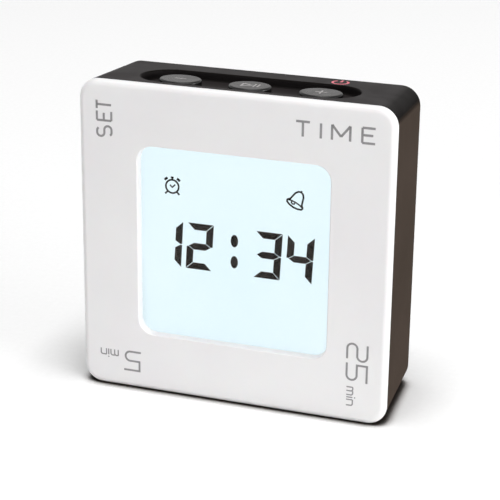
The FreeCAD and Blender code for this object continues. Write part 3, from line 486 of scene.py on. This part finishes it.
def coneMaterial(name, settings):
    material, tree, shader, vector = startMaterial(name)
    middle = tuple(-standingMiddle("speaker_cone"))
    centred = addNode(tree, "ShaderNodeMapping", {"Location": middle}, {"Vector": vector})
    ridges = addNode(tree, "ShaderNodeTexWave",
                     {"wave_type": "RINGS", "rings_direction": "Y", "Detail": 1,
                      "Scale": mmPerMetre / settings["ridgeMm"], "Distortion": settings["waver"]},
                     {"Vector": centred.outputs["Vector"]})
    bump = addBump(tree, ridges.outputs["Fac"], settings["ridge"], settings["ridgeDeepMm"])
    fibres = addNoise(tree, vector, settings["fibreMm"], 5)
    wear = addNoise(tree, vector, settings["wearMm"])
    fillNode(tree, shader, links={"Base Color": addTones(tree, fibres, settings["tones"]), "Normal": bump,
                                  "Roughness": spread(tree, wear, settings["roughness"])})
    return material


paint(coneMaterial("pressedPaperCone", coneSettings), "speaker_cone")

# Cell jackets: printed film, dark with a copper-coloured band toward the nub, steel at both ends.
# The bands are placed by shares of the cell's length.
cellSettings = {"bands": [(0, "#BEBDB8"), (0.016, "#BEBDB8"), (0.018, "#23262B"), (0.7, "#2A2D33"),
                          (0.705, "#B4713C"), (0.965, "#BD7A43"), (0.968, "#BEBDB8"), (1, "#C8C7C2")],
                "steel": (0.962, 0.966), "wearMm": 4, "roughness": (0.22, 0.36),
                "creaseMm": 2, "crease": 0.08, "creaseDeepMm": 0.1}


def cellMaterial(name, node, nubSide, settings=cellSettings):
    material, tree, shader, vector = startMaterial(name)
    low, high = uprightBox(node)
    # the nub is at the high end along X where nubSide is 1, and at the low end where it is -1
    ends = [low[0] / mmPerMetre, high[0] / mmPerMetre][::nubSide]
    along = addRange(tree, splitVector(tree, vector)["X"], ends)
    wear = addNoise(tree, vector, settings["wearMm"])
    creases = addNoise(tree, vector, settings["creaseMm"])
    bump = addBump(tree, creases, settings["crease"], settings["creaseDeepMm"])
    fillNode(tree, shader, links={"Base Color": addRamp(tree, along, settings["bands"]), "Normal": bump,
                                  "Metallic": addRange(tree, along, settings["steel"]),
                                  "Roughness": spread(tree, wear, settings["roughness"])})
    return material


paint(cellMaterial("upperCellJacket", "upper_cell", 1), "upper_cell")
paint(cellMaterial("lowerCellJacket", "lower_cell", -1), "lower_cell")

# Leads: soft vinyl, black on the left of the clock's middle and red on the right
leadSettings = {"tones": ("#161616", "#A81D18"), "middle": (-0.0005, 0.0005), "wearMm": 1,
                "roughness": (0.35, 0.5), "dentMm": 0.6, "dent": 0.1, "dentDeepMm": 0.05}


def leadMaterial(name, settings):
    material, tree, shader, vector = startMaterial(name)
    side = addRange(tree, splitVector(tree, vector)["X"], settings["middle"])
    wear = addNoise(tree, vector, settings["wearMm"])
    dents = addNoise(tree, vector, settings["dentMm"])
    bump = addBump(tree, dents, settings["dent"], settings["dentDeepMm"])
    fillNode(tree, shader, links={"Base Color": addTones(tree, side, settings["tones"], (0.4, 0.6)),
                                  "Roughness": spread(tree, wear, settings["roughness"]), "Normal": bump})
    return material


paint(leadMaterial("vinylWireJacket", leadSettings), "speaker_leads", "battery_leads")

print("inner materials made")

# Where the strokes of the digits turn, in shares of a digit's width
digitShares = {"fiveStem": 0.09, "fiveBowl": 0.9, "twoStart": 0.03, "twoEnd": 0.92}


def fivePaths(size):
    # squared strokes to the middle, then a round bowl with a quarter of the height as its radius
    wide, tall = size
    bowl = tall / 4
    stem, turn = digitShares["fiveStem"] * wide, digitShares["fiveBowl"] * wide - bowl
    return [run([(wide, tall), (stem, tall), (stem, tall / 2), (turn, tall / 2)],
                arc((turn, bowl), bowl, 90, -90), [(0, 0)])]


def twoPaths(size):
    # a round shoulder over a round bowl that opens the other way
    wide, tall = size
    bowl = tall / 4
    return [run([(digitShares["twoStart"] * wide, tall)], arc((wide - bowl, tall - bowl), bowl, 90, -90),
                arc((bowl, bowl), bowl, 90, 270), [(digitShares["twoEnd"] * wide, 0)])]


# Small letters: stems in shares of the word's width, the rest in shares of the letters' height
unitShares = {"round": 0.3, "m": (0, 0.21, 0.43), "i": 0.56, "dot": (1.24, 1.44), "n": (0.69, 1)}


def unitPaths(size):
    # a shoulder leaves its stem level and comes down on the next one by a quarter round
    wide, tall = size
    bend = unitShares["round"] * tall

    def stem(share, low=0, high=1):
        return np.array([(share * wide, low * tall), (share * wide, high * tall)])

    def shoulder(share, end):
        curve = arc((end * wide - bend, tall - bend), bend, 90, 0, 10)
        return run([(share * wide, tall)], curve, [(end * wide, 0)])

    first, second, third = unitShares["m"]
    middle, (last, end) = unitShares["i"], unitShares["n"]
    return [stem(first), shoulder(first, second), shoulder(second, third),
            stem(middle), stem(middle, *unitShares["dot"]), stem(last), shoulder(last, end)]


# Plain capitals drawn by their strokes: mm across, and shares of the height of the letters
capitalBars = {
    "time": [[(0, 1), (3.4, 1)], [(1.7, 1), (1.7, 0)],
             [(6.1, 1), (6.1, 0)],
             [(8.8, 0), (8.8, 1)], [(8.8, 1), (11.0, 0.25)],
             [(11.0, 0.25), (13.2, 1)], [(13.2, 1), (13.2, 0)],
             [(16.1, 0), (16.1, 1)], [(16.1, 1), (19.2, 1)],
             [(16.1, 0.52), (18.7, 0.52)], [(16.1, 0), (19.2, 0)]],
    "set": [[(4.0, 0), (4.0, 1)], [(4.0, 1), (6.3, 1)], [(4.0, 0.52), (5.9, 0.52)], [(4.0, 0), (6.3, 0)],
            [(6.9, 1), (9.0, 1)], [(7.95, 1), (7.95, 0)]],
}
essShape = {"wide": 2.6, "topHook": 1.3, "lowHook": 1.1, "hookEnds": (35, 215)}


def barPaths(bars, tall):
    return [np.array(bar, float) * [1, tall] for bar in bars]


def timePaths(tall):
    return barPaths(capitalBars["time"], tall)


def setPaths(tall):
    # the first letter is two half rounds, one over the other, with a short hook at each end
    bowl = tall / 4
    topEnd, lowEnd = essShape["hookEnds"]
    ess = run(arc((essShape["topHook"], tall - bowl), bowl, topEnd, 90, 8),
              arc((bowl, tall - bowl), bowl, 90, 270, 16),
              arc((essShape["wide"] - bowl, bowl), bowl, 90, -90, 16),
              arc((essShape["lowHook"], bowl), bowl, 270, lowEnd, 8))
    return [ess] + barPaths(capitalBars["set"], tall)


def onFace(corner, turn):
    # a drawn point is turned about its corner by whole quarter turns and stands h before the face
    cosine, sine = round(math.cos(math.radians(turn))), round(math.sin(math.radians(turn)))

    def put(u, v, h):
        x, z = corner[0] + u * cosine - v * sine, corner[1] + u * sine + v * cosine
        return np.stack([x, -h, z], axis=-1)
    return put


# Grey pad-print ink: a slightly uneven film, half matt
inkSettings = {"driftMm": 1.2, "grainMm": 0.2, "grain": 0.05, "roughness": (0.45, 0.55),
               "shader": {"IOR": 1.45}}
greyInk = finishMaterial("greyPadPrint", ("#868485", "#908E8F"), inkSettings)

# Marks on the face: a size is (width, height) of the centre lines, or the height alone for a word,
# and the corner is the zero point of the drawing
faceMarks = {
    "faceDigitTwo": {"draw": twoPaths, "size": (4.35, 5.08), "line": 0.52,
                     "corner": (29.96, 20.89), "turn": -90},
    "faceDigitFive": {"draw": fivePaths, "size": (4.9, 5.08), "line": 0.52,
                      "corner": (29.96, 15.79), "turn": -90},
    "faceUnitRight": {"draw": unitPaths, "size": (4.86, 1.6), "line": 0.34,
                      "corner": (30.07, 9.43), "turn": -90},
    "faceDigitFiveLow": {"draw": fivePaths, "size": (4.68, 5.08), "line": 0.52,
                         "corner": (-24.16, 9.89), "turn": 180},
    "faceUnitLow": {"draw": unitPaths, "size": (4.71, 1.6), "line": 0.34,
                    "corner": (-30.42, 9.83), "turn": 180},
    "faceTopWord": {"draw": timePaths, "size": 3.62, "line": 0.58, "corner": (15.74, 71.24), "turn": 0},
    "faceSideWord": {"draw": setPaths, "size": 3.82, "line": 0.56, "corner": (-31.24, 66.0), "turn": 90},
}
for name, mark in faceMarks.items():
    printLabel(name, mark["draw"](mark["size"]), mark["line"], onFace(mark["corner"], mark["turn"]),
               greyInk, "clock")


def onTop(middle):
    # the drafted top falls to the back by the tangent of the lean for each mm
    low, high = uprightBox("rear_housing")

    def put(u, v, h):
        y = middle[1] + v
        return np.stack([middle[0] + u, y, high[2] - (y - low[1]) * math.tan(leanAngle) + h], axis=-1)
    return put


# Power sign on the top: an open ring with a bar, in red ink
powerSettings = {"middle": (19.7, 22.9), "line": 0.55, "ring": 1.95, "ringDrop": -0.3,
                 "ringEnds": (125, 415), "bar": (0.1, 2.2)}
redInkSettings = {**inkSettings, "roughness": (0.4, 0.5)}
redInk = finishMaterial("redPadPrint", ("#D8596B", "#E06A7A"), redInkSettings)
powerPaths = [arc((0, powerSettings["ringDrop"]), powerSettings["ring"], *powerSettings["ringEnds"], 48),
              np.array([(0, end) for end in powerSettings["bar"]])]
printLabel("powerSign", powerPaths, powerSettings["line"], onTop(powerSettings["middle"]), redInk,
           "clock")


def onButton(node):
    low, high = uprightBox(node)
    middle = (low + high) / 2

    def put(u, v, h):
        return np.stack([middle[0] + u, middle[1] + v, high[2] + h], axis=-1)
    return put


# Signs on the buttons: minus, play and pause, plus, in lighter grey ink
buttonSigns = {
    "line": 0.42,
    "left": [[(-1.5, 0), (1.5, 0)]],
    "middle": [[(-1.9, 1.3), (-1.9, -1.3), (0.3, 0), (-1.9, 1.3)],
               [(1.2, 1.3), (1.2, -1.3)], [(2.2, 1.3), (2.2, -1.3)]],
    "right": [[(-1.5, 0), (1.5, 0)], [(0, -1.5), (0, 1.5)]],
}
markInk = finishMaterial("greyButtonPrint", ("#9A9796", "#A4A1A0"), inkSettings)
for side in ("left", "middle", "right"):
    button = side + "_button"
    printLabel(side + "Sign", barPaths(buttonSigns[side], 1), buttonSigns["line"], onButton(button),
               markInk, button)

# The two signs of the display, with the full width of their lines, in the place of the thin ones.
# Points are shares of the alarm clock's radius and of the bell's height, each with its line.
signSettings = {
    "widths": {"line": 0.44, "bold": 0.6, "fine": 0.34},
    "alarm": {"centre": (-16.9, 53.95), "size": 1.86, "ringGrowth": 0.05,
              "lines": [([(-0.32, 0.2), (0, -0.12), (0.42, 0.3)], "fine"),
                        ([(-0.2, 1.24), (0.2, 1.24)], "line"),
                        ([(0, 1.0), (0, 1.24)], "line")],
              "pairs": [([(0.66, 1.12), (0.88, 1.02), (1.06, 0.8)], "bold"),
                        ([(0.66, -0.7), (1.0, -1.08)], "line")]},
    "bell": {"centre": (15.4, 54.6), "size": 4.5, "tilt": -26,
             "lines": [([(-0.49, -0.34), (-0.36, -0.22), (-0.3, 0.02), (-0.25, 0.22), (-0.14, 0.37),
                         (0, 0.42), (0.14, 0.37), (0.25, 0.22), (0.3, 0.02), (0.36, -0.22),
                         (0.49, -0.34)], "line"),
                       ([(-0.49, -0.34), (-0.44, -0.45), (-0.25, -0.53), (0, -0.56), (0.25, -0.53),
                         (0.44, -0.45), (0.49, -0.34)], "line"),
                       ([(-0.49, -0.34), (-0.25, -0.27), (0, -0.25), (0.25, -0.27),
                         (0.49, -0.34)], "fine"),
                       ([(-0.22, -0.29), (-0.21, -0.38), (-0.12, -0.42), (-0.03, -0.37),
                         (-0.03, -0.27)], "fine"),
                       ([(-0.04, 0.46), (0.04, 0.46)], "line")]},
}


def signPath(shares, sign, side=1):
    # a point is the centre plus the size times the share pair, mirrored by side and tilted
    angle = math.radians(sign.get("tilt", 0))
    tilted = np.array([[math.cos(angle), math.sin(angle)], [-math.sin(angle), math.cos(angle)]])
    return np.array(sign["centre"]) + sign["size"] * (np.array(shares) * [side, 1] @ tilted)


def signStrokes(settings):
    alarm, bell, widths = settings["alarm"], settings["bell"], settings["widths"]
    radius = alarm["size"] - widths["line"] / 2 + alarm["ringGrowth"]
    strokes = [(arc(alarm["centre"], radius, 0, 360, 49), "line")]
    strokes += [(signPath(shares, alarm), width) for shares, width in alarm["lines"]]
    for side in (-1, 1):
        strokes += [(signPath(shares, alarm, side), width) for shares, width in alarm["pairs"]]
    strokes += [(signPath(shares, bell), width) for shares, width in bell["lines"]]
    return [(path, widths[width]) for path, width in strokes]


def drawSigns(settings):
    low, high = uprightBox("lcd_icons")
    middle, half = (low[1] + high[1]) / 2, (high[1] - low[1]) / 2

    def put(u, v, h):
        return np.stack([u, middle + h, v], axis=-1)
    grids = [strokeGrid(path, width, put, half) for path, width in signStrokes(settings)]
    piece = buildMesh("displaySigns", grids)
    piece.data.materials.append(darkCrystal)
    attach(piece, "clock")
    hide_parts("lcd_icons")


drawSigns(signSettings)

print("marks printed")

# White paper under the clock with a painted contact shadow: its colour is painted dark where it is closed
# in within a few mm, right under the edges of the clock, and it thins out with the distance in metres
# until it leaves the white room
floorSettings = {"half": 0.95, "fade": (0.5, 0.9), "reachMm": 4.2, "rays": 8, "grainMm": 1.5,
                 "contactShadowStops": [(0.44, "#302A27"), (0.55, "#77726F"), (0.63, "#D3D1D0"), (0.8, "#FBFBFB")],
                 "grain": ("#FCFCFC", "#FFFFFF"), "shader": {"Roughness": 0.9, "Specular IOR Level": 0.1}}


def stageFloor(settings):
    size = settings["half"]
    mesh = bpy.data.meshes.new("floor")
    corners = [(-size, -size, 0), (size, -size, 0), (size, size, 0), (-size, size, 0)]
    mesh.from_pydata(corners, [], [(0, 1, 2, 3)])
    floor = bpy.data.objects.new("floor", mesh)
    bpy.context.scene.collection.objects.link(floor)
    material, tree, shader, vector = startMaterial("whiteSweep")
    openness = addNode(tree, "ShaderNodeAmbientOcclusion",
                       {"Distance": settings["reachMm"] / mmPerMetre, "samples": settings["rays"]})
    # painted contact shadow: the paper's colour runs to dark where little is open round it
    shadowedPaper = addRamp(tree, openness.outputs["AO"], settings["contactShadowStops"])
    grain = addTones(tree, addNoise(tree, vector, settings["grainMm"]), settings["grain"], (0.3, 0.7))
    blend = {"data_type": "RGBA", "blend_type": "MULTIPLY", 0: 1}
    tone = addNode(tree, "ShaderNodeMix", blend, {6: shadowedPaper, 7: grain}).outputs[2]
    away = addNode(tree, "ShaderNodeVectorMath", {"operation": "LENGTH"}, {0: vector}).outputs["Value"]
    near, far = settings["fade"]
    fade = addNode(tree, "ShaderNodeMapRange",
                   {"interpolation_type": "SMOOTHSTEP", "From Min": near, "From Max": far,
                    "To Min": 1, "To Max": 0}, {"Value": away}).outputs["Result"]
    fillNode(tree, shader, settings["shader"], {"Base Color": tone, "Alpha": fade})
    mesh.materials.append(material)


stageFloor(floorSettings)

# Soft boxes in metres and watts: a large one overhead, and two faint ones for the face and the side
lampSettings = {
    "topLamp": {"place": (0.1, -0.12, 2.8), "size": (1.4, 1.2), "power": 76},
    "frontLamp": {"place": (-0.2, -1.5, 0.3), "size": (1.0, 0.4), "power": 2.6},
    "rightLamp": {"place": (0.9, -0.25, 0.16), "size": (0.5, 0.26), "power": 6},
}
# all look at the middle of the clock; one whose direction is nearly upright is lined up with Y
aimSettings = {"aim": (0, 0, 0.04), "upright": 0.99, "overhead": (0.001, 1, 0), "level": (0, 0, 1)}


def placeLooking(holder, place, back, right):
    # the axes of a lamp or camera are right, up and back, and it looks away from its back
    bpy.context.scene.collection.objects.link(holder)
    turn = np.eye(4)
    turn[:3, :3] = np.stack([right, np.cross(back, right), back], axis=1)
    turn[:3, 3] = place
    holder.matrix_world = Matrix(turn.tolist())


def unitVector(vector):
    return vector / np.linalg.norm(vector)


def areaLamp(name, settings):
    lamp = bpy.data.lights.new(name, "AREA")
    lamp.shape = "RECTANGLE"
    lamp.size, lamp.size_y = settings["size"]
    lamp.energy = settings["power"]
    back = unitVector(np.array(settings["place"]) - aimSettings["aim"])
    guide = aimSettings["overhead" if back[2] > aimSettings["upright"] else "level"]
    right = unitVector(np.cross(guide, back))
    placeLooking(bpy.data.objects.new(name, lamp), settings["place"], back, right)


for name, settings in lampSettings.items():
    areaLamp(name, settings)

# Room: light at eye height and dark overhead, by the height of the direction; what is seen,
# mirrored or looked through is plain white
roomSettings = {"heights": (0.05, 0.5), "strengths": (0.45, 0.03), "white": (1, 1, 1, 1)}


def lightRoom(settings):
    world = bpy.data.worlds.new("studio")
    world.use_nodes = True
    bpy.context.scene.world = world
    tree = world.node_tree
    tree.nodes.clear()
    height = splitVector(tree, addNode(tree, "ShaderNodeTexCoord").outputs["Generated"])["Z"]
    strength = addRange(tree, height, settings["heights"], settings["strengths"])
    room = addNode(tree, "ShaderNodeBackground", {"Color": settings["white"]}, {"Strength": strength})
    seen = addNode(tree, "ShaderNodeBackground", {"Color": settings["white"], "Strength": 1})
    rays = addNode(tree, "ShaderNodeLightPath").outputs
    direct = addMath(tree, "ADD", rays["Is Camera Ray"], rays["Is Glossy Ray"])
    share = addNode(tree, "ShaderNodeMath", {"operation": "ADD", "use_clamp": True},
                    {0: direct, 1: rays["Is Transmission Ray"]}).outputs[0]
    mixed = addNode(tree, "ShaderNodeMixShader",
                    links={0: share, 1: room.outputs["Background"], 2: seen.outputs["Background"]})
    addNode(tree, "ShaderNodeOutputWorld", links={"Surface": mixed.outputs["Shader"]})


lightRoom(roomSettings)

# Camera in the upright frame: place in mm, turns in radians, lens in mm
cameraSettings = {"place": (129.6976, -360.1632, 178.3418), "yaw": 0.3338854, "pitch": 0.3447499,
                  "roll": 0.0122481, "lens": 120.63, "sensor": 36, "nearest": 0.01}


def placeCamera(settings):
    yaw, pitch, roll = settings["yaw"], settings["pitch"], settings["roll"]
    back = np.array([math.sin(yaw) * math.cos(pitch), -math.cos(yaw) * math.cos(pitch), math.sin(pitch)])
    level = unitVector(np.cross([0, 0, 1], back))
    right = math.cos(roll) * level + math.sin(roll) * np.cross(back, level)
    data = bpy.data.cameras.new("camera")
    data.lens = settings["lens"]
    data.sensor_width = settings["sensor"]
    data.clip_start = settings["nearest"]
    camera = bpy.data.objects.new("camera", data)
    placeLooking(camera, stand([settings["place"]])[0], lean @ back, lean @ right)
    bpy.context.scene.camera = camera


placeCamera(cameraSettings)
bpy.context.scene.view_settings.view_transform = "Standard"
print("stage set")
